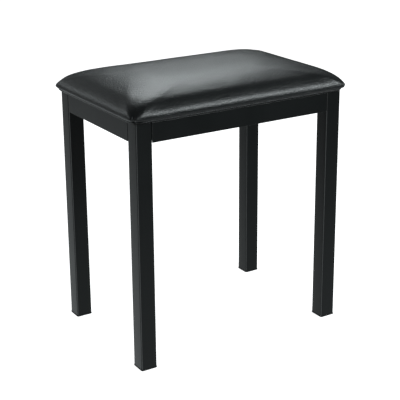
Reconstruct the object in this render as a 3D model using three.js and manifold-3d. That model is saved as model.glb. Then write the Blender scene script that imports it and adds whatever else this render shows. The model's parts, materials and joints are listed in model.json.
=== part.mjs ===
// Piano bench: a crowned vinyl cushion on a black steel frame with four square tube legs.
// Millimetres, +Z up. The origin is on the floor under the middle of the bench.
// X runs along the keyboard, Y across the seat, and the player faces +Y.

import * as THREE from "three";
import { mergeVertices } from "three/addons/utils/BufferGeometryUtils.js";
import Module from "manifold-3d";

const wasm = await Module();
wasm.setup();

// Driving dimensions
const frameWidth = 420;       // over the outer faces of the legs, along X
const frameDepth = 284;       // over the outer faces of the legs, along Y
const railTop = 443;          // floor to the top of the rails
const cushionHeight = 47;     // rail top to the crest of the cushion
const touchGap = 0.3;         // between faces that touch

// Legs: square steel tube
const legSide = 30;
const legWall = 1.5;
const legRound = 3;           // outer corner radius

// Rails: folded steel angle, web outside and flange on top
const railHeight = 36;
const railFlange = 25;
const railSheet = 2.5;
const railRound = 3;          // outside radius of the fold

// Corner brackets: folded plate that holds a leg between two rail ends
const bracketPlate = 3;
const bracketMargin = 2;      // plate below the lower washer
const bracketRound = 4;       // outside radius of the fold

// Plastic ends of the leg tubes
const footFlange = 2;
const footProud = 0.5;        // foot flange beyond the tube, each side
const footDepth = 18;         // plug length inside the tube
const topFlange = 1.5;
const topDepth = 4.5;
const plugWall = 2;
const plugFloor = 1;          // plug material above the flange, before its hollow
const hollowRound = 0.5;      // corner radius of the hollow

// M6 hardware
const boltRadius = 3;
const holeClearance = 0.4;    // radial, around a bolt or a nut
const headAcross = 10;        // hexagon, across flats
const headHeight = 4.2;
const headFlangeRadius = 6.2;
const headFlangeHeight = 1.2;
const socketAcross = 4;
const socketDepth = 2.4;
const washerRadius = 6.2;
const washerThick = 1.4;
const legBoltReach = 11;      // shank beyond the outer face of the leg
const legBoltSpacing = 13;    // height between the two bolts of one corner
const rivetBodyRadius = 4.5;
const rivetBulgeRadius = 5.6;
const rivetBulgeLength = 3.2;
const rivetLength = 13;
const rivetTaper = 1;         // length of the slope at the bulge's far end

// Seat fixing: bolts up through the long rails into tee nuts in the board
const seatBoltSpacing = 250;  // along X
const teeFlangeRadius = 9;
const teeFlangeThick = 1.2;
const teeBarrelRadius = 4.2;
const teeBarrelLength = 7;

// Cushion
const overhangX = 11;         // cushion beyond the frame, at each end
const overhangY = 8;          // cushion beyond the frame, front and back
const cushionCorner = 15;     // plan corner radius at the widest line
const cornerSoftening = 0.45; // growth of the plan corner radius per mm of inset
const cornerSpread = 4.5;     // growth of it with the square root of the inset
const boardThick = 9;
const coverThick = 1.5;
const turnIn = 50;            // width of the cover folded under the board
const creaseHeight = 7;       // rail top to the crease under the bulging side
const sideHeight = 12;        // rail top to the widest line, where the shoulder starts
const edgeInset = 2.5;        // edge below the crease, behind the widest line
const shoulderPower = 4.4;    // steepness of the shoulder
const dustThick = 0.6;
const dustMargin = 2;         // dust cover to the legs

// Facets
const cornerSteps = 3;
const cushionSteps = 4;
const crownRings = 9;
const roundSides = 12;
const hexSides = 6;
const bendSteps = 4;
const cutOver = 1;            // a cutting body's reach past the face it cuts
const weldDistance = 1e-4;

// Worked out from the values above
const legX = (frameWidth - legSide) / 2;
const legY = (frameDepth - legSide) / 2;
const legInnerX = frameWidth / 2 - legSide;
const legInnerY = frameDepth / 2 - legSide;
const railBottom = railTop - railHeight;
const seatHeight = railTop + cushionHeight;
const bracketTop = railTop - railSheet - touchGap;
const plugBottom = railTop - topFlange - topDepth;
const upperBolt = plugBottom - touchGap - rivetBulgeRadius;
const lowerBolt = upperBolt - legBoltSpacing;
const bracketBottom = lowerBolt - washerRadius - bracketMargin;
const cushionX = frameWidth / 2 + overhangX;
const cushionY = frameDepth / 2 + overhangY;
const coverBottom = railTop + touchGap;
const boardBottom = coverBottom + coverThick + touchGap;
const boardTop = boardBottom + boardThick;
const crownInset = cushionY - cushionCorner / 2;
const seatBoltY = frameDepth / 2 - railSheet - (railFlange - railSheet) / 2;

const finishes = {
  vinyl: { color: 0x17191b, roughness: 0.42, metalness: 0 },
  foam: { color: 0xd9cfa8, roughness: 0.95, metalness: 0 },
  plywood: { color: 0xb98d5e, roughness: 0.8, metalness: 0 },
  felt: { color: 0x141414, roughness: 0.95, metalness: 0 },
  powder: { color: 0x1d2224, roughness: 0.5, metalness: 0.1 },
  plastic: { color: 0x101112, roughness: 0.6, metalness: 0 },
  zinc: { color: 0xb9bdc0, roughness: 0.35, metalness: 1 },
  blackSteel: { color: 0x222222, roughness: 0.4, metalness: 0.8 },
};

const bench = new THREE.Group();

function addPiece(name, finish, geometry, parent = bench) {
  const mesh = new THREE.Mesh(geometry, new THREE.MeshStandardMaterial(finishes[finish]));
  mesh.name = name;
  parent.add(mesh);
  return mesh;
}

// A closed geometry as a solid for joining and cutting
function toSolid(geometry) {
  const bare = geometry.clone();
  bare.deleteAttribute("normal");
  bare.deleteAttribute("uv");
  const merged = mergeVertices(bare, weldDistance);
  return new wasm.Manifold(new wasm.Mesh({
    numProp: 3,
    vertProperties: Float32Array.from(merged.attributes.position.array),
    triVerts: Uint32Array.from(merged.index.array),
  }));
}

function toGeometry(solid) {
  const mesh = solid.getMesh();
  const geometry = new THREE.BufferGeometry();
  geometry.setAttribute("position", new THREE.BufferAttribute(mesh.vertProperties, 3));
  geometry.setIndex(new THREE.BufferAttribute(mesh.triVerts, 1));
  return geometry;
}

function cut(geometry, ...tools) {
  const result = tools.reduce((solid, tool) => solid.subtract(toSolid(tool)), toSolid(geometry));
  return toGeometry(result);
}

function join(...geometries) {
  const [first, ...rest] = geometries.map(toSolid);
  return toGeometry(rest.reduce((solid, next) => solid.add(next), first));
}

// Rounded rectangle outline, corner by corner, counterclockwise
function roundedOutline(halfX, halfY, radius, steps) {
  const points = [];
  const corners = [[1, 1], [-1, 1], [-1, -1], [1, -1]];
  corners.forEach(([sx, sy], quarter) => {
    for (let step = 0; step <= steps; step++) {
      const angle = (quarter + step / steps) * Math.PI / 2;
      const x = sx * (halfX - radius) + radius * Math.cos(angle);
      const y = sy * (halfY - radius) + radius * Math.sin(angle);
      points.push(new THREE.Vector2(x, y));
    }
  });
  return points;
}

function prism(outline, bottom, top, holes = []) {
  const shape = new THREE.Shape(outline);
  shape.holes = holes.map((hole) => new THREE.Path(hole));
  const geometry = new THREE.ExtrudeGeometry(shape, { depth: top - bottom, bevelEnabled: false });
  return geometry.translate(0, 0, bottom);
}

function squarePrism(half, radius, bottom, top) {
  return prism(roundedOutline(half, half, radius, cornerSteps), bottom, top);
}

// Upright rod between two heights, centred on the Z axis
function rod(radius, bottom, top, sides = roundSides) {
  const geometry = new THREE.CylinderGeometry(radius, radius, top - bottom, sides);
  return geometry.rotateX(Math.PI / 2).translate(0, 0, (bottom + top) / 2);
}

// Hexagonal rod, sized across its flats
function hexRod(across, bottom, top) {
  return rod(across / 2 / Math.cos(Math.PI / hexSides), bottom, top, hexSides);
}

// Solid through a stack of outlines that all have the same number of points
function loft(rings) {
  const count = rings[0].outline.length;
  const positions = [];
  rings.forEach(({ outline, z }) => outline.forEach((p) => positions.push(p.x, p.y, z)));
  const bottomCentre = rings.length * count;
  positions.push(0, 0, rings[0].z);
  positions.push(0, 0, rings[rings.length - 1].z);
  const index = [];
  for (let i = 0; i < count; i++) {
    const next = (i + 1) % count;
    const lastRing = (rings.length - 1) * count;
    index.push(bottomCentre, next, i);
    index.push(bottomCentre + 1, lastRing + i, lastRing + next);
    for (let r = 0; r < rings.length - 1; r++) {
      const low = r * count;
      const high = low + count;
      index.push(low + i, low + next, high + next);
      index.push(low + i, high + next, high + i);
    }
  }
  const geometry = new THREE.BufferGeometry();
  geometry.setAttribute("position", new THREE.Float32BufferAttribute(positions, 3));
  geometry.setIndex(index);
  return geometry;
}

// One horizontal ring of the cushion, by its distance inside the widest line
function cushionRing(inset, z) {
  const halfX = cushionX - inset;
  const halfY = cushionY - inset;
  const softened = cushionCorner + cornerSoftening * inset + cornerSpread * Math.sqrt(inset);
  const radius = Math.min(softened, halfY - 1);
  return { outline: roundedOutline(halfX, halfY, radius, cushionSteps), z };
}

// Height of the crowned top at a distance inside the widest line
function crownHeight(inset) {
  const shoulder = railTop + sideHeight;
  const share = Math.min(inset / crownInset, 1);
  return shoulder + (seatHeight - shoulder) * (1 - (1 - share) ** shoulderPower);
}

// The cushion's outer form, or the same form a skin thickness further in
function cushionForm(skin, bottom) {
  const crease = railTop + creaseHeight;
  const rings = [cushionRing(edgeInset + skin, bottom)];
  if (bottom < crease) {
    rings.push(cushionRing(edgeInset + skin, crease));
  }
  for (let step = 0; step <= crownRings; step++) {
    const inset = (crownInset - skin) * (step / crownRings) ** 2;
    const z = crownHeight(inset) - skin;
    if (z > bottom + touchGap) {
      rings.push(cushionRing(inset + skin, z));
    }
  }
  return loft(rings);
}

// Hexagon flange bolt pointing up, the underside of its flange at z = 0
function flangeBolt(shank) {
  const outside = join(
    hexRod(headAcross, -headHeight, 0),
    rod(headFlangeRadius, -headFlangeHeight, 0),
    rod(boltRadius, -headFlangeHeight, shank),
  );
  return cut(outside, hexRod(socketAcross, -headHeight - cutOver, -headHeight + socketDepth));
}

function washer() {
  const hole = rod(boltRadius + holeClearance, -cutOver, washerThick + cutOver);
  return cut(rod(washerRadius, 0, washerThick), hole);
}

// Blind side rivet nut: its mouth is at z = 0, flush with the outside of the tube wall
function rivetNut() {
  const bore = boltRadius + touchGap;
  const behind = legWall + touchGap;
  const profile = [
    [bore, 0],
    [rivetBodyRadius, 0],
    [rivetBodyRadius, behind],
    [rivetBulgeRadius, behind],
    [rivetBulgeRadius, behind + rivetBulgeLength],
    [rivetBodyRadius, behind + rivetBulgeLength + rivetTaper],
    [rivetBodyRadius, rivetLength],
    [bore, rivetLength],
    [bore, 0],
  ];
  const points = profile.map(([radius, z]) => new THREE.Vector2(radius, z));
  return new THREE.LatheGeometry(points, roundSides).rotateX(Math.PI / 2);
}

function teeNut() {
  const solid = join(
    rod(teeFlangeRadius, -teeFlangeThick, 0),
    rod(teeBarrelRadius, -teeBarrelLength, 0),
  );
  return cut(solid, rod(boltRadius + touchGap, -teeBarrelLength - cutOver, cutOver));
}

// Rail of a given length along X, its outer face at y = 0 and its flange towards +Y
function rail(length, boltXs) {
  const inside = railRound - railSheet;
  const shape = new THREE.Shape();
  shape.moveTo(0, railBottom);
  shape.lineTo(railSheet, railBottom);
  shape.lineTo(railSheet, railTop - railSheet - inside);
  shape.absarc(railSheet + inside, railTop - railSheet - inside, inside, Math.PI, Math.PI / 2, true);
  shape.lineTo(railFlange, railTop - railSheet);
  shape.lineTo(railFlange, railTop);
  shape.lineTo(railRound, railTop);
  shape.absarc(railRound, railTop - railRound, railRound, Math.PI / 2, Math.PI, false);
  shape.closePath();
  const options = { depth: length, bevelEnabled: false, curveSegments: bendSteps };
  const bar = new THREE.ExtrudeGeometry(shape, options);
  const toLength = new THREE.Matrix4().makeBasis(
    new THREE.Vector3(0, 1, 0),
    new THREE.Vector3(0, 0, 1),
    new THREE.Vector3(1, 0, 0),
  );
  bar.applyMatrix4(toLength).translate(-length / 2, 0, 0);
  const inward = frameDepth / 2 - seatBoltY;
  const holes = boltXs.map((x) => {
    const hole = rod(boltRadius + holeClearance, -railSheet - cutOver, cutOver);
    return hole.translate(x, inward, railTop);
  });
  return cut(bar, ...holes);
}

// Each corner's pieces are built round the leg's axis, and the corner's signs mirror them
// so that the bracket and the fixings are always on the leg's two inner faces.
const corners = [
  { name: "back_right", x: 1, y: 1 },
  { name: "back_left", x: -1, y: 1 },
  { name: "front_left", x: -1, y: -1 },
  { name: "front_right", x: 1, y: -1 },
];

// The inner faces of a leg: the fixings of one face are built along +Z and turned there
const boltFaces = [
  { name: "side", axis: "x", height: lowerBolt },
  { name: "end", axis: "y", height: upperBolt },
];

// Turns a piece built along +Z so that +Z runs outwards, from the inner face into the leg
function intoLeg(geometry, { axis, height }, sign) {
  if (axis === "x") {
    geometry.rotateY(sign * Math.PI / 2).translate(-sign * legSide / 2, 0, height);
  } else {
    geometry.rotateX(-sign * Math.PI / 2).translate(0, -sign * legSide / 2, height);
  }
  return geometry;
}

function faceSign({ x, y }, { axis }) {
  return axis === "x" ? x : y;
}

function leg(corner) {
  const half = legSide / 2;
  const outer = roundedOutline(half, half, legRound, cornerSteps);
  const inner = roundedOutline(half - legWall, half - legWall, legRound - legWall, cornerSteps);
  const bottom = footFlange + touchGap;
  const top = railTop - topFlange - touchGap;
  const tube = prism(outer, bottom, top, [inner]);
  const holes = boltFaces.map((face) => {
    const hole = rod(rivetBodyRadius + touchGap, -cutOver, legWall + cutOver);
    return intoLeg(hole, face, faceSign(corner, face));
  });
  return cut(tube, ...holes);
}

// Cup-shaped plug that fills a tube end, its flange outside and its mouth inside the tube
function tubePlug(flangeHalf, flangeThick, depth) {
  const plugHalf = legSide / 2 - legWall - touchGap;
  const plugRound = legRound - legWall;
  const flange = squarePrism(flangeHalf, legRound, 0, flangeThick);
  const plug = squarePrism(plugHalf, plugRound, 0, flangeThick + depth);
  const mouth = flangeThick + depth + cutOver;
  const hollow = squarePrism(plugHalf - plugWall, hollowRound, flangeThick + plugFloor, mouth);
  return cut(join(flange, plug), hollow);
}

// Folded plate round the two inner faces of the leg, reaching to the backs of both webs
function cornerBracket({ x, y }) {
  const near = -legSide / 2 - touchGap;
  const far = near - bracketPlate;
  const reach = legSide / 2 - railSheet - touchGap;
  const inside = bracketRound - bracketPlate;
  const shape = new THREE.Shape();
  shape.moveTo(reach, far);
  shape.lineTo(reach, near);
  shape.lineTo(near + inside, near);
  shape.lineTo(near, near + inside);
  shape.lineTo(near, reach);
  shape.lineTo(far, reach);
  shape.lineTo(far, far + bracketRound);
  shape.absarc(far + bracketRound, far + bracketRound, bracketRound, Math.PI, Math.PI * 1.5, false);
  shape.closePath();
  const outline = shape.getPoints(bendSteps).map((p) => new THREE.Vector2(p.x * x, p.y * y));
  const plate = prism(outline, bracketBottom, bracketTop);
  const holes = boltFaces.map((face) => {
    const hole = rod(boltRadius + holeClearance, near + legSide / 2 - bracketPlate - cutOver, cutOver);
    return intoLeg(hole, face, faceSign({ x, y }, face));
  });
  return cut(plate, ...holes);
}

function addCorner(corner) {
  const group = new THREE.Group();
  group.position.set(corner.x * legX, corner.y * legY, 0);
  bench.add(group);

  addPiece(`leg_${corner.name}`, "powder", leg(corner), group);
  const footHalf = legSide / 2 + footProud;
  addPiece(`foot_cap_${corner.name}`, "plastic", tubePlug(footHalf, footFlange, footDepth), group);
  const topPlug = tubePlug(legSide / 2, topFlange, topDepth).rotateX(Math.PI);
  addPiece(`top_plug_${corner.name}`, "plastic", topPlug.translate(0, 0, railTop), group);
  addPiece(`corner_bracket_${corner.name}`, "powder", cornerBracket(corner), group);

  const washerBack = -bracketPlate - 2 * touchGap - washerThick;
  const headSeat = washerBack - touchGap;
  for (const face of boltFaces) {
    const sign = faceSign(corner, face);
    const where = `${corner.name}_${face.name}`;
    const bolt = flangeBolt(legBoltReach - headSeat).translate(0, 0, headSeat);
    addPiece(`leg_bolt_${where}`, "zinc", intoLeg(bolt, face, sign), group);
    const ring = washer().translate(0, 0, washerBack);
    addPiece(`leg_washer_${where}`, "zinc", intoLeg(ring, face, sign), group);
    addPiece(`rivet_nut_${where}`, "zinc", intoLeg(rivetNut(), face, sign), group);
  }
}

function addRails() {
  const longRail = 2 * (legInnerX - touchGap);
  const shortRail = 2 * (legInnerY - touchGap);
  const boltXs = [-seatBoltSpacing / 2, seatBoltSpacing / 2];
  const sides = [
    { name: "front_rail", length: longRail, holes: boltXs, turn: 0, out: frameDepth / 2 },
    { name: "right_rail", length: shortRail, holes: [], turn: 1, out: frameWidth / 2 },
    { name: "back_rail", length: longRail, holes: boltXs, turn: 2, out: frameDepth / 2 },
    { name: "left_rail", length: shortRail, holes: [], turn: 3, out: frameWidth / 2 },
  ];
  for (const side of sides) {
    const group = new THREE.Group();
    group.rotation.z = side.turn * Math.PI / 2;
    bench.add(group);
    const piece = addPiece(side.name, "powder", rail(side.length, side.holes), group);
    piece.position.y = -side.out;
  }
}

function addSeat() {
  const boltPlaces = [];
  for (const [row, y] of [["front", -seatBoltY], ["back", seatBoltY]]) {
    boltPlaces.push({ name: `${row}_left`, x: -seatBoltSpacing / 2, y });
    boltPlaces.push({ name: `${row}_right`, x: seatBoltSpacing / 2, y });
  }
  const drill = (radius, bottom, top) => (
    boltPlaces.map(({ x, y }) => rod(radius, bottom, top).translate(x, y, 0))
  );

  const opening = prism(
    roundedOutline(cushionX - turnIn, cushionY - turnIn, cushionCorner, cushionSteps),
    coverBottom - cutOver,
    boardBottom + cutOver,
  );
  const cover = cut(
    cushionForm(0, coverBottom),
    cushionForm(coverThick, coverBottom + coverThick),
    opening,
    ...drill(boltRadius + holeClearance, coverBottom - cutOver, boardBottom),
  );
  addPiece("seat_cover", "vinyl", cover);
  addPiece("seat_foam", "foam", cushionForm(coverThick + touchGap, boardTop + touchGap));

  const boardEdge = edgeInset + coverThick + touchGap;
  const boardOutline = cushionRing(boardEdge, 0).outline;
  const barrelHole = teeBarrelRadius + touchGap;
  const flangePocket = teeFlangeThick + touchGap;
  const board = cut(
    prism(boardOutline, boardBottom, boardTop),
    ...drill(barrelHole, boardBottom - cutOver, boardTop + cutOver),
    ...drill(teeFlangeRadius + touchGap, boardTop - flangePocket, boardTop + cutOver),
  );
  addPiece("seat_board", "plywood", board);

  const dustHalfX = legInnerX - dustMargin;
  const dustHalfY = legInnerY - dustMargin;
  const dustOutline = roundedOutline(dustHalfX, dustHalfY, dustMargin, cornerSteps);
  addPiece("dust_cover", "felt", prism(dustOutline, railTop - dustThick, railTop));

  const headSeat = railTop - railSheet - touchGap;
  for (const { name, x, y } of boltPlaces) {
    const bolt = flangeBolt(boardTop - touchGap - headSeat).translate(x, y, headSeat);
    addPiece(`seat_bolt_${name}`, "blackSteel", bolt);
    addPiece(`tee_nut_${name}`, "zinc", teeNut().translate(x, y, boardTop));
  }
}

corners.forEach(addCorner);
addRails();
addSeat();

export default bench;
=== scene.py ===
# Piano bench: black vinyl cushion on a bolted, powder-coated steel frame.
import json
import math
import random

import bmesh
import bpy
from mathutils import Matrix, Vector, noise
from mathutils.kdtree import KDTree


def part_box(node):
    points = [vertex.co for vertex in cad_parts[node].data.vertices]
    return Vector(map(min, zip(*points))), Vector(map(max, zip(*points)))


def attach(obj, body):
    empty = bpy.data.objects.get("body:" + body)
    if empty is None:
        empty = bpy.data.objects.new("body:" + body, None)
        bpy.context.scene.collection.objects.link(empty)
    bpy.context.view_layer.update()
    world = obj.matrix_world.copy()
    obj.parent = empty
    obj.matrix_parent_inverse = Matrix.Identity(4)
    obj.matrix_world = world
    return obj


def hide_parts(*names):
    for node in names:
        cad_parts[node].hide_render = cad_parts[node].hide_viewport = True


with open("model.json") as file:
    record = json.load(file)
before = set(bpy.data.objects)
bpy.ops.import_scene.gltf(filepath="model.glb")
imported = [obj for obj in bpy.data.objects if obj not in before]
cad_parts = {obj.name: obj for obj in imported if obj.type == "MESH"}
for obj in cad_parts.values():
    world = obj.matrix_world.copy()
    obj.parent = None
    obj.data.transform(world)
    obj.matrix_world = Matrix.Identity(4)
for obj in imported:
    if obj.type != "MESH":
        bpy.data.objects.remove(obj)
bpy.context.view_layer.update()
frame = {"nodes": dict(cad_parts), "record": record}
mm = 0.001
slotOf = {part["node"]: part["material_slot"] for part in frame["record"]["subparts"]}
random.seed(11)


class Level:  # one value in a shader, so that sums on it are written as sums
    def __init__(self, nodeSet, socket):
        self.nodeSet = nodeSet
        self.socket = socket

    def math(self, operation, *values):
        node = self.nodeSet.add("ShaderNodeMath", {"operation": operation},
                                dict(enumerate(values)))
        return Level(self.nodeSet, node.outputs[0])

    def __add__(self, other):
        return self.math("ADD", self, other)

    def __radd__(self, other):
        return self.math("ADD", other, self)

    def __sub__(self, other):
        return self.math("SUBTRACT", self, other)

    def __rsub__(self, other):
        return self.math("SUBTRACT", other, self)

    def __mul__(self, other):
        return self.math("MULTIPLY", self, other)

    def __rmul__(self, other):
        return self.math("MULTIPLY", other, self)

    def __truediv__(self, other):
        return self.math("DIVIDE", self, other)

    def __pow__(self, other):
        return self.math("POWER", self, other)

    def between(self, low, high):  # 0 below low, 1 above high, smooth in the middle
        node = self.nodeSet.add("ShaderNodeMapRange", {"interpolation_type": "SMOOTHSTEP"},
                                {"Value": self, "From Min": low, "From Max": high})
        return Level(self.nodeSet, node.outputs["Result"])


class NodeSet:  # a node tree, with the one method that adds its nodes
    def __init__(self, tree):
        self.tree = tree
        self.tree.nodes.clear()

    def add(self, kind, settings=None, values=None):
        node = self.tree.nodes.new(kind)
        for key, value in (settings or {}).items():
            setattr(node, key, value)
        for key, value in (values or {}).items():
            self.feed(node.inputs[key], value)
        return node

    def feed(self, socket, value):
        if isinstance(value, Level):
            self.tree.links.new(value.socket, socket)
        elif isinstance(value, bpy.types.NodeSocket):
            self.tree.links.new(value, socket)
        else:
            socket.default_value = value


class Finish(NodeSet):  # one material
    def __init__(self, name):
        self.material = bpy.data.materials.new(name)
        self.material.use_nodes = True
        super().__init__(self.material.node_tree)
        self.shader = self.add("ShaderNodeBsdfPrincipled")
        self.add("ShaderNodeOutputMaterial", None, {"Surface": self.shader.outputs["BSDF"]})
        self.place = self.add("ShaderNodeTexCoord").outputs["Object"]

    def set(self, **values):
        for key, value in values.items():
            self.feed(self.shader.inputs[key.replace("_", " ")], value)

    def stretched(self, scale):  # object coordinates in metres, times a vector
        node = self.add("ShaderNodeVectorMath", {"operation": "MULTIPLY"},
                        {0: self.place, 1: scale})
        return node.outputs["Vector"]

    def along(self, axis):
        node = self.add("ShaderNodeSeparateXYZ", None, {0: self.place})
        return Level(self, node.outputs[axis])

    def noise(self, scale, detail=3.0, roughness=0.5, vector=None):
        node = self.add("ShaderNodeTexNoise", None, {
            "Vector": vector or self.place, "Scale": scale, "Detail": detail,
            "Roughness": roughness})
        return Level(self, node.outputs["Fac"])

    def cells(self, scale, feature="F1", randomness=1.0):
        node = self.add("ShaderNodeTexVoronoi", {"feature": feature}, {
            "Vector": self.place, "Scale": scale, "Randomness": randomness})
        return Level(self, node.outputs["Distance"])

    def wave(self, scale, distortion, detail, direction, vector=None):
        node = self.add("ShaderNodeTexWave", {"bands_direction": direction}, {
            "Vector": vector or self.place, "Scale": scale, "Distortion": distortion,
            "Detail": detail})
        return Level(self, node.outputs["Fac"])

    def mixed(self, mask, first, second):  # colours: first where mask is 0
        node = self.add("ShaderNodeMix", {"data_type": "RGBA"}, {0: mask, 6: first, 7: second})
        return node.outputs[2]

    def bump(self, height, distance, strength=1.0, normal=None):
        values = {"Height": height, "Distance": distance, "Strength": strength}
        if normal is not None:
            values["Normal"] = normal
        return self.add("ShaderNodeBump", None, values).outputs["Normal"]


def grey(level, tint=(1.0, 1.0, 1.0)):
    return (level * tint[0], level * tint[1], level * tint[2], 1.0)


vinylLook = {"base": (0.0065, 0.0080, 0.0084), "worn": (0.011, 0.0125, 0.013),
             "grain": 400.0, "grainDepth": 0.00034,  # pebbles in a metre, relief in metres
             "small": 2.3, "crease": 0.42, "warp": 230.0,  # the first two against the grain
             "swell": 14.0, "swellDepth": 0.0011, "handled": 9.0,
             "roughness": 0.31, "spread": 0.07}


def makeVinyl():
    finish = Finish("vinylGrain")
    grain = vinylLook["grain"]
    warp = finish.noise(vinylLook["warp"], 2.0)
    pebbles = finish.cells(grain, "SMOOTH_F1")
    small = finish.cells(grain * vinylLook["small"])
    creases = finish.cells(grain * vinylLook["crease"], "DISTANCE_TO_EDGE").between(0.0, 0.09)
    height = (1 - pebbles) * 0.7 + (1 - small) * 0.18 + creases * 0.32 + warp * 0.6
    swell = finish.bump(finish.noise(vinylLook["swell"], 4.0), vinylLook["swellDepth"], 0.5)
    normal = finish.bump(height, vinylLook["grainDepth"], normal=swell)
    handled = finish.noise(vinylLook["handled"], 5.0, 0.6).between(0.42, 0.72)
    base = (*vinylLook["base"], 1.0)
    worn = (*vinylLook["worn"], 1.0)
    colour = finish.mixed(handled * 0.5 + (1 - creases) * 0.25, base, worn)
    rough = vinylLook["roughness"] + pebbles * vinylLook["spread"] + handled * 0.05
    finish.set(Base_Color=colour, Roughness=rough, Normal=normal)
    return finish.material


powderLook = {"base": (0.0042, 0.0056, 0.0058), "dust": (0.012, 0.014, 0.0145),
              "peel": 1500.0, "peelDepth": 0.00006, "pores": 900.0, "sag": 60.0,
              "cloud": 7.0, "specks": 420.0, "roughness": 0.26}


def makePowder(name, lift=1.0):  # lift brightens the colour
    finish = Finish(name)
    peel = finish.noise(powderLook["peel"], 2.0, 0.6)
    pores = finish.cells(powderLook["pores"]).between(0.0, 0.25)
    sag = finish.noise(powderLook["sag"])
    normal = finish.bump(peel * 0.8 + pores * 0.25 + sag * 0.6, powderLook["peelDepth"])
    cloud = finish.noise(powderLook["cloud"], 5.0, 0.55).between(0.35, 0.75)
    specks = finish.noise(powderLook["specks"], 2.0, 0.7).between(0.70, 0.78)
    base = grey(lift, powderLook["base"])
    dust = grey(lift, powderLook["dust"])
    colour = finish.mixed(cloud * 0.22 + specks * 0.35, base, dust)
    rough = powderLook["roughness"] + cloud * 0.06 + specks * 0.12 + peel * 0.05
    finish.set(Base_Color=colour, Roughness=rough, Normal=normal, Specular_IOR_Level=0.42)
    return finish.material


def makeMoulded(name, level):
    finish = Finish(name)
    spark = finish.cells(1900.0)
    flow = finish.noise(80.0, 4.0, 0.6, finish.stretched((1.0, 1.0, 4.0)))
    scuff = finish.noise(260.0, 5.0, 0.7).between(0.56, 0.7)
    above = finish.along("Z").between(0.0, 0.004)  # the wear stays close to the floor
    normal = finish.bump(spark * 0.7 + flow * 0.4, 0.00007)
    scuffed = grey(level * 3.2, (1.0, 0.97, 0.93))
    colour = finish.mixed(scuff * (1 - above) * 0.8, grey(level), scuffed)
    finish.set(Base_Color=colour, Roughness=0.52 + scuff * 0.2 + spark * 0.1, Normal=normal)
    finish.set(Specular_IOR_Level=0.4)
    return finish.material


def makeZinc():
    finish = Finish("zincPlate")
    spangle = finish.cells(700.0)
    streak = finish.noise(900.0, 3.0, 0.6, finish.stretched((1.0, 1.0, 0.2)))
    stain = finish.noise(160.0, 4.0, 0.65).between(0.5, 0.72)
    bright = grey(0.62, (0.97, 1.0, 1.03))
    colour = finish.mixed(stain * 0.7, bright, grey(0.4, (1.05, 1.0, 0.86)))
    rough = 0.27 + spangle * 0.12 + stain * 0.2
    normal = finish.bump(streak * 0.6 + spangle * 0.3, 0.00003)
    finish.set(Base_Color=colour, Metallic=1.0, Roughness=rough, Normal=normal)
    return finish.material


def makeBlackSteel():
    finish = Finish("blackPlate")
    rub = finish.noise(420.0, 4.0, 0.7).between(0.55, 0.68)
    colour = finish.mixed(rub * 0.6, grey(0.03), grey(0.22))
    normal = finish.bump(finish.noise(1300.0, 3.0), 0.00003)
    finish.set(Base_Color=colour, Metallic=0.85, Roughness=0.38 + rub * 0.15, Normal=normal)
    return finish.material


def makePlywood():
    finish = Finish("rawPlywood")
    rings = finish.wave(9.0, 9.0, 3.0, "Y", finish.stretched((1.0, 7.0, 7.0)))
    fibres = finish.noise(900.0, 4.0, 0.7, finish.stretched((0.06, 1.0, 1.0)))
    plies = finish.wave(330.0, 0.0, 0.0, "Z").between(0.35, 0.65)
    face = finish.mixed(rings * 0.6, (0.50, 0.32, 0.165, 1.0), (0.36, 0.205, 0.095, 1.0))
    edge = finish.mixed(plies * 0.35, face, (0.22, 0.12, 0.055, 1.0))
    colour = finish.mixed(fibres * 0.25, edge, (0.62, 0.44, 0.25, 1.0))
    normal = finish.bump(fibres * 0.6 + rings * 0.3, 0.00012)
    finish.set(Base_Color=colour, Roughness=0.7 + fibres * 0.15, Normal=normal)
    return finish.material


def makeFoam():
    finish = Finish("seatFoam")
    pores = finish.cells(800.0)
    crumbs = finish.noise(300.0, 5.0, 0.7)
    normal = finish.bump((1 - pores) * 0.8 + crumbs * 0.5, 0.0006)
    # darker in the pore hollows: painted shade in the foam's pores
    colour = finish.mixed(pores, (0.74, 0.66, 0.42, 1.0), (0.52, 0.43, 0.22, 1.0))
    finish.set(Base_Color=colour, Roughness=0.9 + crumbs * 0.08, Normal=normal)
    return finish.material


def makeFelt():
    finish = Finish("spunCloth")
    fibres = finish.noise(700.0, 6.0, 0.75, finish.stretched((1.0, 0.25, 1.0)))
    cross = finish.noise(820.0, 6.0, 0.75, finish.stretched((0.25, 1.0, 1.0)))
    points = finish.cells(560.0, randomness=0.15).between(0.16, 0.3)  # heat-bonded dots
    height = fibres * 0.5 + cross * 0.5 + points * 0.9
    normal = finish.bump(height, 0.00022)
    colour = finish.mixed(fibres * 0.6 + points * 0.3, grey(0.008), grey(0.03, (1, 1, 1.04)))
    finish.set(Base_Color=colour, Roughness=0.85 + cross * 0.1, Normal=normal)
    finish.set(Sheen_Weight=0.15, Sheen_Roughness=0.5)
    return finish.material


materials = {
    "vinyl": makeVinyl(),
    "foam": makeFoam(),
    "plywood": makePlywood(),
    "dust_felt": makeFelt(),
    "powder_coat": makePowder("powderCoat"),
    "bracket_coat": makePowder("bracketCoat", 1.1),
    "foot_plastic": makeMoulded("footPlastic", 0.009),
    "plug_plastic": makeMoulded("plugPlastic", 0.011),
    "zinc": makeZinc(),
    "black_steel": makeBlackSteel(),
}
print("finishes made:", len(materials))


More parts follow.
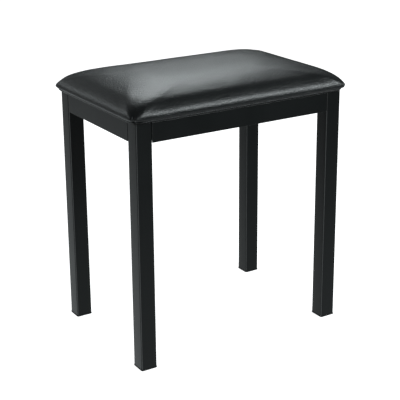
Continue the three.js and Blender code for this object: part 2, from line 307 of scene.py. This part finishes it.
def roundedOutline(halfX, halfY, radius):  # counterclockwise, denser in its corners
    corners = [(1, 1), (-1, 1), (-1, -1), (1, -1)]
    steps = cushionShape["cornerSteps"]
    points = []
    for quarter, (signX, signY) in enumerate(corners):
        for step in range(steps + 1):
            away = 2 * step / steps - 1  # -1 to 1 across the corner
            share = 0.5 + 0.5 * math.copysign(abs(away) ** cushionShape["gather"], away)
            angle = (quarter + share) * math.pi / 2
            points.append(Vector((signX * (halfX - radius) + radius * math.cos(angle),
                                  signY * (halfY - radius) + radius * math.sin(angle))))
        nextX, nextY = corners[(quarter + 1) % 4]
        angle = (quarter + 1) * math.pi / 2
        end = Vector((nextX * (halfX - radius) + radius * math.cos(angle),
                      nextY * (halfY - radius) + radius * math.sin(angle)))
        count = cushionShape["endSteps"] if quarter % 2 else cushionShape["sideSteps"]
        start = points[-1]
        points += [start.lerp(end, k / count) for k in range(1, count)]
    return points


def meshObject(name, bm, slot, smoothAngle=40):
    mesh = bpy.data.meshes.new(name)
    bm.normal_update()
    bm.to_mesh(mesh)
    bm.free()
    mesh.shade_smooth()
    mesh.set_sharp_from_angle(angle=math.radians(smoothAngle))
    mesh.materials.append(materials[slot])
    piece = bpy.data.objects.new(name, mesh)
    bpy.context.scene.collection.objects.link(piece)
    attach(piece, "root")
    return piece


def ringFaces(bm, low, high):
    count = len(low)
    for i in range(count):
        j = (i + 1) % count
        bm.faces.new((low[i], low[j], high[j], high[i]))


def softenEdges(piece, width, angle=40):
    bevel = piece.modifiers.new("edges", "BEVEL")
    bevel.width = width
    bevel.segments = 2
    bevel.limit_method = "ANGLE"
    bevel.angle_limit = math.radians(angle)
    bevel.harden_normals = True
    weighted = piece.modifiers.new("flatFaces", "WEIGHTED_NORMAL")
    weighted.keep_sharp = True


edgeWidths = {"leg": 0.35, "foot_cap": 0.4, "top_plug": 0.25, "corner_bracket": 0.4,
              "front_rail": 0.45, "back_rail": 0.45, "left_rail": 0.45, "right_rail": 0.45,
              "seat_board": 0.5}  # mm, by the start of a node's name; leg takes in the washers
boardTrim = {"edge": 1.6, "corner": 7.0, "reach": 45.0, "rim": 12.0}
joinDistance = 0.02 * mm


def trimBoard(bm):  # draws the outline in a little, and more at the corners, clear of the cover
    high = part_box("seat_board")[1]
    for vertex in bm.verts:
        awayX = (high.x - abs(vertex.co.x)) / mm
        awayY = (high.y - abs(vertex.co.y)) / mm
        if min(awayX, awayY) > boardTrim["rim"]:
            continue
        near = max(0.0, 1 - (awayX + awayY) / boardTrim["reach"])
        pull = (boardTrim["edge"] + boardTrim["corner"] * near / math.sqrt(2)) * mm
        if awayX < boardTrim["rim"] or near > 0:
            vertex.co.x -= math.copysign(pull, vertex.co.x)
        if awayY < boardTrim["rim"] or near > 0:
            vertex.co.y -= math.copysign(pull, vertex.co.y)


def refineNode(node, width):  # a bevelled copy of a CAD node
    bm = bmesh.new()
    bm.from_mesh(frame["nodes"][node].data)
    bmesh.ops.remove_doubles(bm, verts=bm.verts, dist=joinDistance)
    bmesh.ops.dissolve_limit(bm, angle_limit=math.radians(1), verts=bm.verts, edges=bm.edges)
    for layer in list(bm.loops.layers.float_vector.values()):
        bm.loops.layers.float_vector.remove(layer)
    if node == "seat_board":
        trimBoard(bm)
    piece = meshObject(node + "_fine", bm, slotOf[node])
    softenEdges(piece, width * mm)
    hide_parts(node)


for node in frame["nodes"]:
    start = next((s for s in edgeWidths if node == s or node.startswith(s + "_")), None)
    if start and not node.startswith("leg_bolt"):
        refineNode(node, edgeWidths[start])
    else:
        frame["nodes"][node].data.materials.clear()
        frame["nodes"][node].data.materials.append(materials[slotOf[node]])
print("frame pieces refined")


# lengths in mm; the rest are shares, powers, counts and waves in a metre
cushionShape = {"corner": 15.0, "softening": 0.4, "spread": 3.2,  # corner radius, and its growth
                "coverThick": 1.5, "turnIn": 50.0, "underRows": (42, 32, 22, 14, 10),
                "underFlat": 0.3,
                "edgeInset": 2.2, "edgeSteps": 8, "under": 4.0, "underGap": 1.2,
                "crease": 3.6, "creaseDepth": 1.2, "creaseHalf": 0.5, "foldTop": 1.0,
                "belowCrease": 0.3, "aboveCrease": 0.1, "side": 8.4, "sideProud": 0.2,
                "sideSkip": 0.8, "sideRows": 5, "roll": 18.0, "rollInset": 27.0,
                "crownInset": 141.0, "power": 2.6, "crownRows": 36,
                "cornerSteps": 28, "gather": 1.7, "sideSteps": 64, "endSteps": 44}
clothSetup = {"slack": 4.0, "ramp": 26.0, "cap": 12.0, "give": 0.13, "voxel": 5.0,
              "pressure": 4.0, "frames": 20, "quality": 5, "tension": 15.0, "bending": 0.5,
              "mass": 0.3, "nearest": 6, "blur": 1.5, "even": 8}
pleatShape = {"depth": 3.2, "width": 1.7, "widen": 0.16, "widenFrom": 6.0,
              "from": 4.0, "reach": 24.0, "fade": 1.6, "near": 110.0, "wide": 50.0,
              "lip": 1.2, "lipAt": 4.2, "lipWide": 2.4, "lipRise": 8.5, "lipTall": 5.0,
              "lift": 0.5, "liftAt": 26.0, "liftLong": 15.0, "liftWide": 20.0, "liftTall": 8.0}
pullMarks = {"depth": 0.35, "waves": 30.0, "rising": 14.0, "drift": 0.004, "fade": 34.0,
             "broad": 0.9, "broadWaves": 11.0, "seed": 3.0, "from": 7.0, "over": 8.0}

seatLow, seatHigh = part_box("seat_cover")
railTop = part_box("front_rail")[1].z
creaseHeight = railTop + cushionShape["crease"] * mm
foldHeight = railTop + (cushionShape["crease"] + cushionShape["foldTop"]) * mm
widestHeight = railTop + cushionShape["side"] * mm


def cushionRing(inset, z):  # inset in mm behind the widest line, z in metres
    halfX = seatHigh.x / mm - inset
    halfY = seatHigh.y / mm - inset
    softened = (cushionShape["corner"] + cushionShape["softening"] * inset
                + cushionShape["spread"] * math.sqrt(max(inset, 0)))
    outline = roundedOutline(halfX, halfY, min(softened, halfY - 1))
    return [Vector((p.x * mm, p.y * mm, z)) for p in outline]


def crownHeight(inset):  # a rolled edge, then a long low dome
    shape = cushionShape
    away = 1 - min(inset / shape["rollInset"], 1)
    roll = shape["roll"] * math.sqrt(1 - away * away) * mm
    dome = seatHigh.z - widestHeight - shape["roll"] * mm
    share = min(inset / shape["crownInset"], 1)
    return widestHeight + roll + dome * (1 - (1 - share) ** shape["power"])


def cushionRows():  # inset and height of each row, from the turned-in edge to the crest
    shape = cushionShape
    edge = shape["edgeInset"]
    half = shape["creaseHalf"] * mm
    rows = [(shape["turnIn"], seatLow.z + shape["coverThick"] * mm)]
    rows += [(inset, seatLow.z) for inset in (shape["turnIn"], *shape["underRows"])]
    for step in range(shape["edgeSteps"] + 1):  # the edge of the board, rounded underneath
        angle = step / shape["edgeSteps"] * math.pi / 2
        rise = (shape["crease"] - shape["underGap"]) * (1 - math.cos(angle)) * mm
        rows.append((edge + shape["under"] * (1 - math.sin(angle)), seatLow.z + rise))
    rows.append((edge + shape["belowCrease"], creaseHeight - half))
    rows.append((edge + shape["creaseDepth"], creaseHeight))
    rows.append((edge + shape["aboveCrease"], creaseHeight + half))
    heldRows = len(rows)
    rise = widestHeight - creaseHeight - shape["sideSkip"] * mm
    for step in range(1, shape["sideRows"]):
        angle = step / shape["sideRows"] * math.pi / 2
        rows.append(((edge - shape["sideProud"]) * (1 - math.sin(angle)),
                     widestHeight - rise * math.cos(angle)))
    for step in range(shape["crownRows"] + 1):
        inset = shape["crownInset"] * (step / shape["crownRows"]) ** 2
        rows.append((inset, crownHeight(inset)))
    return rows, heldRows


def closeCrown(bm, ring):  # joins the last ring's front and back halves across the middle
    tiny = 1e-7
    microns = 1e6

    def spot(x, y):
        return round(x * microns), round(y * microns)

    places = {spot(v.co.x, v.co.y): v for v in ring}
    start = max(range(len(ring)), key=lambda k: ring[k].co.x - abs(ring[k].co.y))
    ring = ring[start:] + ring[:start]  # from the right end, round the back, to the left end
    back = [v for v in ring[1:] if v.co.y > tiny]
    front = [places[spot(v.co.x, -v.co.y)] for v in back]
    rightEnd = ring[0]
    leftEnd = next(v for v in ring[1:] if abs(v.co.y) <= tiny)
    drawnIn = 0.98  # keeps the middle line clear of the ring's ends
    middle = [bm.verts.new((v.co.x * drawnIn, 0, v.co.z)) for v in back]
    for i in range(len(back) - 1):
        bm.faces.new((back[i], back[i + 1], middle[i + 1], middle[i]))
        bm.faces.new((middle[i], middle[i + 1], front[i + 1], front[i]))
    bm.faces.new((rightEnd, back[0], middle[0]))
    bm.faces.new((rightEnd, middle[0], front[0]))
    bm.faces.new((leftEnd, middle[-1], back[-1]))
    bm.faces.new((leftEnd, front[-1], middle[-1]))


def closedBody(cover, ringCount):  # even, closed copy of the slack cover, for the cloth
    bm = bmesh.new()
    bm.from_mesh(cover.data)
    bm.verts.ensure_lookup_table()
    bm.faces.new([bm.verts[k] for k in reversed(range(ringCount))])
    mesh = bpy.data.meshes.new("slackBody")
    bm.to_mesh(mesh)
    bm.free()
    body = bpy.data.objects.new("slackBody", mesh)
    bpy.context.scene.collection.objects.link(body)
    remesh = body.modifiers.new("even", "REMESH")
    remesh.mode = "VOXEL"
    remesh.voxel_size = clothSetup["voxel"] * mm
    even = bpy.data.meshes.new_from_object(body.evaluated_get(
        bpy.context.evaluated_depsgraph_get()))
    body.modifiers.remove(remesh)
    body.data = even
    return body


def simulateBody(body):  # blows the body up and gives each point's start and movement
    held = body.vertex_groups.new(name="held")
    low = [v.index for v in body.data.vertices if v.co.z < foldHeight]
    held.add(low, 1.0, "REPLACE")
    start = [v.co.copy() for v in body.data.vertices]
    cloth = body.modifiers.new("cloth", "CLOTH")
    settings = cloth.settings
    settings.quality = clothSetup["quality"]
    settings.mass = clothSetup["mass"]
    settings.tension_stiffness = clothSetup["tension"]
    settings.compression_stiffness = clothSetup["tension"]
    settings.bending_stiffness = clothSetup["bending"]
    settings.vertex_group_mass = "held"
    settings.use_pressure = True
    settings.uniform_pressure_force = clothSetup["pressure"]
    settings.effector_weights.gravity = 0
    cloth.collision_settings.use_collision = False
    cloth.point_cache.frame_start = 1
    cloth.point_cache.frame_end = clothSetup["frames"]
    scene = bpy.context.scene
    for step in range(1, clothSetup["frames"] + 1):
        scene.frame_set(step)
    blown = body.evaluated_get(bpy.context.evaluated_depsgraph_get()).data
    moves = [v.co - s for v, s in zip(blown.vertices, start)]
    body.modifiers.remove(cloth)
    scene.frame_set(1)
    return start, moves


def evenField(field, ringCount, heldRows):  # irons out the steps between the voxels
    rows = len(field) // ringCount - 1
    for _ in range(clothSetup["even"]):
        fresh = [m.copy() for m in field]
        for row in range(heldRows, rows):
            for column in range(ringCount):
                index = row * ringCount + column
                left = row * ringCount + (column - 1) % ringCount
                right = row * ringCount + (column + 1) % ringCount
                fresh[index] = (field[index] * 2 + field[left] + field[right]
                                + field[index - ringCount] + field[index + ringCount]) / 6
        field = fresh
    return field


def swellCover(cover, ringCount, heldRows, full, normals, ramp):  # it gives a little
    body = closedBody(cover, ringCount)
    start, moves = simulateBody(body)
    tree = KDTree(len(start))
    for index, point in enumerate(start):
        tree.insert(point, index)
    tree.balance()
    vertices = cover.data.vertices
    total = len(vertices)
    field = [Vector((0, 0, 0)) for _ in range(total)]
    for index in range(ringCount * heldRows, total):
        weight = 0.0
        for _, near, distance in tree.find_n(vertices[index].co, clothSetup["nearest"]):
            share = 1 / (distance + clothSetup["blur"] * mm) ** 2
            field[index] += moves[near] * share
            weight += share
        field[index] /= weight
    cap = clothSetup["cap"] * mm
    for index, move in enumerate(evenField(field, ringCount, heldRows)):
        if move.length > cap:
            move = move * (cap / move.length)
        slack = normals[index] * clothSetup["slack"] * ramp[index] * mm
        vertices[index].co = full[index] + (move - slack) * clothSetup["give"] * ramp[index]
    bpy.data.objects.remove(body)
    furthest = max(m.length for m in moves) / mm
    print("cover blown up: furthest", round(furthest, 1), "mm")


def pleatMove(point, outward):  # how far a point moves for the folds at the four corners
    shape = pleatShape
    awayX = (seatHigh.x - abs(point.x)) / mm
    awayY = (seatHigh.y - abs(point.y)) / mm
    across = (awayX - awayY) / math.sqrt(2)
    if awayX + awayY > shape["near"] or abs(across) > shape["wide"]:
        return Vector((0, 0, 0))
    rise = (point.z - railTop) / mm
    width = shape["width"] * (1 + max(rise - shape["widenFrom"], 0) * shape["widen"])
    fold = -shape["depth"] * math.exp(-(across / width) ** 2)
    fold *= max(0.0, 1 - max(rise - shape["from"], 0) / shape["reach"]) ** shape["fade"]
    lips = shape["lip"] * math.exp(-((abs(across) - shape["lipAt"]) / shape["lipWide"]) ** 2)
    lips *= math.exp(-((rise - shape["lipRise"]) / shape["lipTall"]) ** 2)
    inwards = (awayX + awayY) / math.sqrt(2) - shape["liftAt"]
    lift = (shape["lift"] * math.exp(-(inwards / shape["liftLong"]) ** 2)
            * math.exp(-(across / shape["liftWide"]) ** 2))
    lift *= min(max((rise - cushionShape["crease"]) / shape["liftTall"], 0), 1)
    diagonal = Vector((math.copysign(1, point.x), math.copysign(1, point.y), 0)).normalized()
    return (diagonal * fold + outward * (lips + lift)) * mm


def pullMove(point, outward):  # faint waves that run in from the edge, and broad ones above
    shape = pullMarks
    edgeX = (seatHigh.x - abs(point.x)) / mm
    edgeY = (seatHigh.y - abs(point.y)) / mm
    near = math.exp(-min(edgeX, edgeY) / shape["fade"])
    along = point.x if edgeY < edgeX else point.y
    wave = noise.noise(Vector((along * shape["waves"], point.z * shape["rising"],
                               edgeX * shape["drift"])))
    broad = noise.noise(Vector((point.x * shape["broadWaves"], point.y * shape["broadWaves"],
                                shape["seed"])))
    rise = min(max((point.z - railTop) / mm - shape["from"], 0) / shape["over"], 1)
    return outward * (wave * near + broad * shape["broad"]) * shape["depth"] * rise * mm


def shapeCover(piece):
    mesh = piece.data
    mesh.update()
    normals = [v.normal.copy() for v in mesh.vertices]
    for vertex, outward in zip(mesh.vertices, normals):
        point = vertex.co.copy()
        if point.z > seatLow.z + cushionShape["underFlat"] * mm:  # not the part under the board
            vertex.co = point + pleatMove(point, outward) + pullMove(point, outward)


def makeCushion():
    rows, heldRows = cushionRows()
    bm = bmesh.new()
    loops = [[bm.verts.new(p) for p in cushionRing(inset, z)] for inset, z in rows]
    for low, high in zip(loops, loops[1:]):
        ringFaces(bm, low, high)
    ringCount = len(loops[0])
    closeCrown(bm, loops[-1])
    bm.normal_update()
    full = [v.co.copy() for v in bm.verts]
    normals = [v.normal.copy() for v in bm.verts]
    ramp = []
    for index, point in enumerate(full):
        inset = min(seatHigh.x - abs(point.x), seatHigh.y - abs(point.y)) / mm
        reach = (inset + max(point.z - foldHeight, 0) / mm) / clothSetup["ramp"]
        ramp.append(min(reach, 1) if index >= ringCount * heldRows else 0.0)
    for index, vertex in enumerate(bm.verts):
        vertex.co = full[index] - normals[index] * clothSetup["slack"] * ramp[index] * mm
    piece = meshObject("seatCover", bm, "vinyl", 180)
    swellCover(piece, ringCount, heldRows, full, normals, ramp)
    shapeCover(piece)
    smooth = piece.modifiers.new("smooth", "SUBSURF")
    smooth.levels = smooth.render_levels = 1
    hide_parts("seat_cover")


foamShape = {"gap": 4.0, "rows": 14, "firstRise": 0.5}


def makeFoamBlock():
    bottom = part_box("seat_foam")[0].z
    gap = foamShape["gap"]
    bm = bmesh.new()
    first = cushionShape["edgeInset"] + gap
    loops = [[bm.verts.new(p) for p in cushionRing(first, bottom)]]
    for step in range(foamShape["rows"] + 1):
        inset = (cushionShape["crownInset"] - gap) * (step / foamShape["rows"]) ** 2
        z = crownHeight(inset) - gap * mm
        if z > bottom + foamShape["firstRise"] * mm:
            loops.append([bm.verts.new(p) for p in cushionRing(inset + gap, z)])
    for low, high in zip(loops, loops[1:]):
        ringFaces(bm, low, high)
    bm.faces.new(list(reversed(loops[0])))
    bm.faces.new(loops[-1])
    piece = meshObject("seatFoam", bm, "foam", 50)
    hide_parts("seat_foam")


makeCushion()
makeFoamBlock()
print("seat padded")


dustSetup = {"stepsX": 90, "stepsY": 56, "gap": 0.1, "sag": 2.4, "flatness": 4,
             "ripple": 0.5, "waves": 26.0, "pinch": 16.0, "thick": 0.35}
stapleSetup = {"spacing": 36.0, "drift": 2.0, "tilt": 9.0, "inset": 6.0, "proud": 0.35,
               "length": 10.0, "leg": 1.0, "wire": 1.1, "flat": 0.5, "wireSides": 8}


def staplePlaces():  # middle and angle of each staple round the dust cover
    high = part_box("dust_cover")[1]
    inset = stapleSetup["inset"] * mm
    drift = stapleSetup["drift"]
    places = []
    for axis, length, other in ((0, high.x - inset, high.y - inset),
                                (1, high.y - inset, high.x - inset)):
        count = round(2 * length / mm / stapleSetup["spacing"])
        for side in (-1, 1):
            for k in range(count):
                along = -length + (k + 0.5) * 2 * length / count
                along += random.uniform(-drift, drift) * mm
                x, y = (along, side * other) if axis == 0 else (side * other, along)
                tilt = math.radians(random.uniform(-1, 1) * stapleSetup["tilt"])
                places.append((Vector((x, y)), tilt + axis * math.pi / 2))
    return places


def makeDustCover(places):
    low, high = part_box("dust_cover")
    shape = dustSetup
    top = high.z - shape["gap"] * mm
    bm = bmesh.new()
    grid = []
    for row in range(shape["stepsY"] + 1):
        y = low.y + (high.y - low.y) * row / shape["stepsY"]
        line = []
        for column in range(shape["stepsX"] + 1):
            x = low.x + (high.x - low.x) * column / shape["stepsX"]
            middle = 1 - (x / high.x) ** shape["flatness"]
            middle *= 1 - (y / high.y) ** shape["flatness"]
            ripple = noise.noise(Vector((x * shape["waves"], y * shape["waves"], 0.0))) * 0.5 + 0.5
            closest = min((Vector((x, y)) - spot).length for spot, _ in places) / mm
            ripple *= min(closest / shape["pinch"], 1)
            drop = shape["sag"] * middle + shape["ripple"] * ripple
            line.append(bm.verts.new((x, y, top - drop * mm)))
        grid.append(line)
    for lower, upper in zip(grid, grid[1:]):
        for k in range(len(lower) - 1):
            bm.faces.new((lower[k], upper[k], upper[k + 1], lower[k + 1]))
    piece = meshObject("dustCover", bm, "dust_felt", 180)
    thick = piece.modifiers.new("thick", "SOLIDIFY")
    thick.thickness = shape["thick"] * mm
    thick.offset = 1.0
    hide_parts("dust_cover")


def sweptWire(bm, path, side):  # flattened wire along a path
    steps = stapleSetup["wireSides"]
    across = side * stapleSetup["wire"] / 2 * mm
    up = Vector((0, 0, stapleSetup["flat"] / 2 * mm))
    loops = []
    for point in path:
        angles = [(k + 0.5) * 2 * math.pi / steps for k in range(steps)]
        loops.append([bm.verts.new(point + across * math.cos(angle) + up * math.sin(angle))
                      for angle in angles])
    for low, high in zip(loops, loops[1:]):
        ringFaces(bm, low, high)
    bm.faces.new(list(reversed(loops[0])))
    bm.faces.new(loops[-1])


def makeStaples(places):
    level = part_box("dust_cover")[1].z - (dustSetup["thick"] + stapleSetup["proud"]) * mm
    half = stapleSetup["length"] / 2 * mm
    rise = Vector((0, 0, stapleSetup["leg"] * mm))
    shape = ((-1, 1), (-0.97, 0.3), (-0.88, 0), (0, 0), (0.88, 0), (0.97, 0.3), (1, 1))
    bm = bmesh.new()
    for spot, angle in places:
        ahead = Vector((math.cos(angle), math.sin(angle), 0))
        side = Vector((-math.sin(angle), math.cos(angle), 0))
        middle = Vector((spot.x, spot.y, level))
        path = [middle + ahead * half * along + rise * up for along, up in shape]
        sweptWire(bm, path, side)
    bmesh.ops.recalc_face_normals(bm, faces=bm.faces)
    meshObject("staples", bm, "zinc", 50)


weldShape = {"radius": 2.1, "ripple": 0.28, "pitch": 2.2, "ends": 3.0, "endShare": 0.06,
             "lumps": 0.25, "lumpWaves": (50, 400), "droop": 0.3, "inset": 1.0,
             "rows": 46, "sides": 14}


def makeWelds(corner):  # two upright beads from a bracket to the backs of the rails
    low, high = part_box("corner_bracket_" + corner)
    shape = weldShape
    outer = Vector((high.x if low.x > 0 else low.x, high.y if low.y > 0 else low.y))
    inner = Vector((low.x if low.x > 0 else high.x, low.y if low.y > 0 else high.y))
    start, end = low.z + shape["inset"] * mm, high.z - shape["inset"] * mm
    angles = [k * 2 * math.pi / shape["sides"] for k in range(shape["sides"])]
    flatWaves, upWaves = shape["lumpWaves"]
    bm = bmesh.new()
    for x, y in ((inner.x, outer.y), (outer.x, inner.y)):
        loops = []
        for row in range(shape["rows"] + 1):
            z = start + (end - start) * row / shape["rows"]
            close = min(z - start, end - z) / mm
            swell = math.sqrt(min(close / shape["ends"] + shape["endShare"], 1))
            beat = math.sin(2 * math.pi * z / mm / shape["pitch"])
            lump = shape["lumps"] * noise.noise(Vector((x * flatWaves, y * flatWaves,
                                                        z * upWaves)))
            radius = (shape["radius"] + shape["ripple"] * beat + lump) * swell * mm
            level = z + shape["droop"] * mm * beat
            loops.append([bm.verts.new((x + radius * math.cos(angle),
                                        y + radius * math.sin(angle), level))
                          for angle in angles])
        for lower, upper in zip(loops, loops[1:]):
            ringFaces(bm, lower, upper)
        bm.faces.new(list(reversed(loops[0])))
        bm.faces.new(loops[-1])
    bmesh.ops.recalc_face_normals(bm, faces=bm.faces)
    meshObject("welds_" + corner, bm, "bracket_coat", 60)


boltShape = {"radius": 3.0, "flange": 6.2, "head": 4.2, "across": 10.0, "edge": 0.12,
             "socket": 4.0, "socketDepth": 2.4, "pitch": 1.0, "threadDepth": 0.32, "sides": 36}


def turned(bm, profile, sides):  # closed lathe shape round Z, from (radius, z) pairs in mm
    loops = []
    for radius, z in profile:
        loops.append([bm.verts.new((radius * math.cos(2 * math.pi * k / sides) * mm,
                                    radius * math.sin(2 * math.pi * k / sides) * mm,
                                    z * mm)) for k in range(sides)])
    for low, high in zip(loops, loops[1:]):
        ringFaces(bm, low, high)
    bm.faces.new(list(reversed(loops[0])))
    bm.faces.new(loops[-1])


def makeBolt(node, direction):  # direction runs along the shank, away from the head
    shape = boltShape
    low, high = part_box(node)
    length = max((high - low)[k] * abs(direction[k]) for k in range(3)) / mm
    reach = length - shape["head"]
    radius, flange, head = shape["radius"], shape["flange"], shape["head"]
    bm = bmesh.new()
    profile = [(5.0, -1.5), (5.6, -1.3), (flange - 0.15, -0.75), (flange, -0.55),
               (flange, -0.12), (flange - 0.12, 0), (radius, 0)]  # flange, then shank
    z = 1.0
    while z < reach - 1.2:  # thread grooves
        profile.append((radius, z))
        profile.append((radius - shape["threadDepth"], z + shape["pitch"] * 0.5))
        z += shape["pitch"]
    profile += [(radius, reach - 1.0), (radius - 0.8, reach)]
    turned(bm, profile, shape["sides"])
    rim = shape["across"] / 2 / math.cos(math.pi / 6)
    socket = shape["socket"] / 2 / math.cos(math.pi / 6)
    turned(bm, [(rim, -1.0), (rim, -head + 0.55), (rim * 0.94, -head + 0.15),
                (rim * 0.86, -head), (socket * 1.12, -head), (socket, -head + 0.3),
                (socket, -head + shape["socketDepth"])], 6)
    bmesh.ops.recalc_face_normals(bm, faces=bm.faces)
    piece = meshObject(node + "_fine", bm, slotOf[node], 32)
    headEnd = low if direction.dot(high - low) > 0 else high
    seat = (low + high) / 2
    for k in range(3):
        if direction[k]:
            seat[k] = headEnd[k] + direction[k] * head * mm
    turn = direction.to_track_quat("Z", "Y").to_matrix().to_4x4()
    piece.data.transform(Matrix.Translation(seat) @ turn)
    softenEdges(piece, shape["edge"] * mm, 45)
    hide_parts(node)


stapleSpots = staplePlaces()
makeDustCover(stapleSpots)
makeStaples(stapleSpots)
for signY, row in ((-1, "front"), (1, "back")):
    for signX, side in ((-1, "left"), (1, "right")):
        corner = row + "_" + side
        makeWelds(corner)
        makeBolt(f"leg_bolt_{corner}_side", Vector((signX, 0, 0)))
        makeBolt(f"leg_bolt_{corner}_end", Vector((0, signY, 0)))
        makeBolt(f"seat_bolt_{corner}", Vector((0, 0, 1)))
print("underside finished")


cameraPlace = {"location": (-0.9933, -1.5992, 0.9056), "yaw": 58.181, "pitch": 17.048,
               "roll": -0.439, "lens": 96.17, "sensor": 36.0, "shiftY": -0.125}


def makeCamera():
    yaw = math.radians(cameraPlace["yaw"])
    pitch = math.radians(cameraPlace["pitch"])
    roll = math.radians(cameraPlace["roll"])
    ahead = Vector((math.cos(yaw) * math.cos(pitch), math.sin(yaw) * math.cos(pitch),
                    -math.sin(pitch)))
    level = Vector((math.sin(yaw), -math.cos(yaw), 0))
    above = level.cross(ahead)
    right = math.cos(roll) * level + math.sin(roll) * above
    up = math.cos(roll) * above - math.sin(roll) * level
    data = bpy.data.cameras.new("camera")
    data.lens = cameraPlace["lens"]
    data.sensor_width = cameraPlace["sensor"]
    data.shift_y = cameraPlace["shiftY"]
    data.dof.use_dof = False
    data.clip_end = 100.0
    camera = bpy.data.objects.new("camera", data)
    bpy.context.scene.collection.objects.link(camera)
    turn = Matrix((right, up, -ahead)).transposed()
    camera.matrix_world = Matrix.Translation(cameraPlace["location"]) @ turn.to_4x4()
    bpy.context.scene.camera = camera


floorSetup = {"rings": (0.6, 1.2, 2.4, 5.0, 12.0, 30.0), "sides": 64, "pale": 0.82, "glow": 1.0}


def makeFloor():
    bm = bmesh.new()
    angles = [k * 2 * math.pi / floorSetup["sides"] for k in range(floorSetup["sides"])]
    loops = [[bm.verts.new((radius * math.cos(angle), radius * math.sin(angle), 0))
              for angle in angles] for radius in floorSetup["rings"]]
    bm.faces.new(loops[0])
    for low, high in zip(loops, loops[1:]):
        ringFaces(bm, low, high)
    bmesh.ops.recalc_face_normals(bm, faces=bm.faces)
    mesh = bpy.data.meshes.new("floor")
    bm.to_mesh(mesh)
    bm.free()
    finish = Finish("paleFloor")
    finish.set(Base_Color=grey(floorSetup["pale"]), Roughness=0.85, Specular_IOR_Level=0.1)
    finish.set(Emission_Color=grey(1.0), Emission_Strength=floorSetup["glow"])
    mesh.materials.append(finish.material)
    floor = bpy.data.objects.new("floor", mesh)
    bpy.context.scene.collection.objects.link(floor)
    floor.visible_glossy = False  # the sky's lower half lights the undersides instead
    floor.visible_diffuse = False


skyLevels = {"panel": 0.30, "panelDeep": 0.86, "panelAngle": 101.0, "panelEdge": (0.895, 0.962),
             "dim": 0.03, "dimDeep": 0.5, "deepEdge": (0.2, 0.47),
             "side": 1.7, "sideAngle": 212.0, "sideEdge": (0.84, 0.97), "sideFade": (-0.1, 0.1),
             "rear": 0.13, "rearEdge": (0.3, 0.9), "rearRise": (0.1, 0.42),
             "zenith": 0.08, "zenithEdge": (0.25, 0.75), "tint": (0.93, 1.0, 1.015, 1.0)}


def makeSky():  # a pale panel behind, a bright one to the left, dim elsewhere and overhead
    world = bpy.data.worlds.new("studio")
    bpy.context.scene.world = world
    world.use_nodes = True
    sky = NodeSet(world.node_tree)
    coords = sky.add("ShaderNodeTexCoord").outputs["Generated"]
    split = sky.add("ShaderNodeSeparateXYZ", None, {0: coords})
    x, y, z = (Level(sky, split.outputs[k]) for k in range(3))
    flat = (x * x + y * y + 0.0001) ** 0.5
    levels = skyLevels

    def panel(name):  # 1 round a compass direction, 0 away from it
        turn = math.radians(levels[name + "Angle"])
        towards = (x * math.cos(turn) + y * math.sin(turn)) / flat
        return towards.between(*levels[name + "Edge"])

    deep = (0 - z).between(*levels["deepEdge"])
    dim = levels["dim"] + (levels["dimDeep"] - levels["dim"]) * deep
    pale = levels["panel"] + (levels["panelDeep"] - levels["panel"]) * deep
    below = dim + (pale - dim) * panel("panel")
    below = below + panel("side") * levels["side"] * (0 - z).between(*levels["sideFade"])
    rear = (x * 0.4 + y * 0.92).between(*levels["rearEdge"])
    rear = rear * z.between(*levels["rearRise"]) * levels["rear"]
    total = below + (levels["zenith"] - below) * z.between(*levels["zenithEdge"]) + rear
    background = sky.add("ShaderNodeBackground", None,
                         {"Color": levels["tint"], "Strength": total})
    sky.add("ShaderNodeOutputWorld", None, {"Surface": background.outputs["Background"]})


seatMiddle = Vector((0.0, 0.0, 0.45))
softboxes = [  # name, direction from the seat, distance, size, power
    ("rearBox", (0.41, 0.71, 0.52), 2.2, (0.80, 0.55), 8.8),
    ("frontBox", (0.50, -0.66, 0.46), 2.4, (1.3, 0.8), 40.0),
    ("leftBox", (-0.60, 0.70, 0.30), 2.4, (0.7, 0.7), 5.0),
]


def makeLights():
    for name, direction, distance, size, power in softboxes:
        data = bpy.data.lights.new(name, "AREA")
        data.shape = "RECTANGLE"
        data.size, data.size_y = size
        data.energy = power
        data.color = skyLevels["tint"][:3]
        lamp = bpy.data.objects.new(name, data)
        bpy.context.scene.collection.objects.link(lamp)
        away = Vector(direction).normalized()
        lamp.location = seatMiddle + away * distance
        lamp.rotation_euler = away.to_track_quat("Z", "Y").to_euler()


makeCamera()
makeFloor()
makeSky()
makeLights()
bpy.context.scene.view_settings.view_transform = "Standard"
print("stage set")
